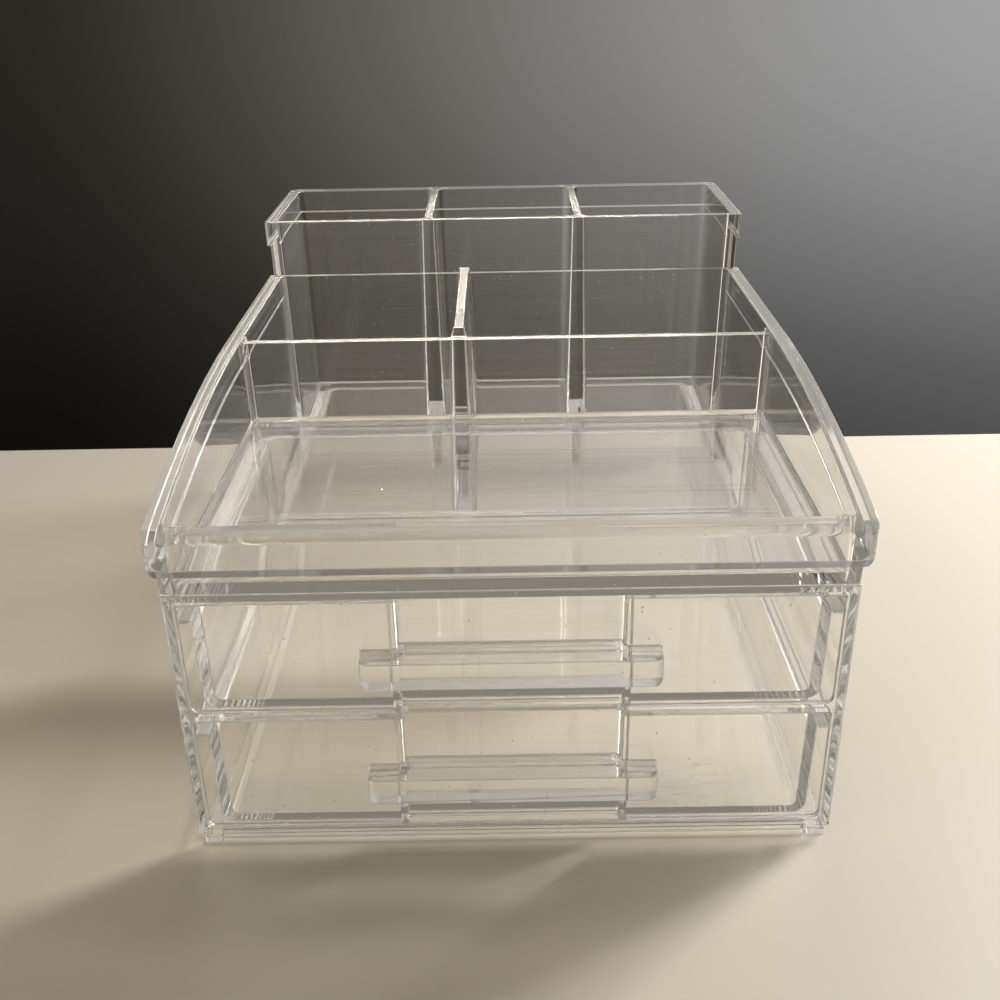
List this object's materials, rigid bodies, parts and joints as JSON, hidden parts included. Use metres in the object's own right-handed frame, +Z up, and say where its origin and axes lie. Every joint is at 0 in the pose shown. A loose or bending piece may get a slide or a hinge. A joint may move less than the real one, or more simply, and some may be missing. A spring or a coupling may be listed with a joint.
{
  "type": "makeup organizer",
  "caption": "Clear acrylic desk organizer: stepped drawer case with sliding drawers under a lift-off top tray of open compartments and tall rear cups.",
  "frame": {"origin": "middle of the footprint at the height of the table, under the middle of the organizer's width and depth, handles and rim included", "axes": "+X to the right of someone facing the drawers, -Y out of the drawer fronts (drawers pull towards -Y), +Z up"},
  "size_m": [0.244, 0.3506, 0.1789],
  "materials": {
    "case_acrylic": "clear polished",
    "tray_acrylic": "clear polished",
    "lower_drawer_acrylic": "clear polished",
    "upper_drawer_acrylic": "clear polished"
  },
  "bodies": {
    "case": {"drawer_case": "case_acrylic"},
    "tray": {"top_tray": "tray_acrylic"},
    "lower_tub": {"lower_drawer_front": "lower_drawer_acrylic", "lower_drawer_tub": "lower_drawer_acrylic"},
    "upper_tub": {"upper_drawer": "upper_drawer_acrylic"}
  },
  "joints": [
    {"name": "lower_drawer_slide", "type": "slide", "parent": "case", "child": "lower_tub", "axis": [0, -1, 0], "range_m": [0, 0.28]},
    {"name": "upper_drawer_slide", "type": "slide", "parent": "case", "child": "upper_tub", "axis": [0, -1, 0], "range_m": [0, 0.12]},
    {"name": "tray_lift", "type": "slide", "parent": "case", "child": "tray", "axis": [0, 0, 1], "range_m": [0, 0.15]}
  ]
}
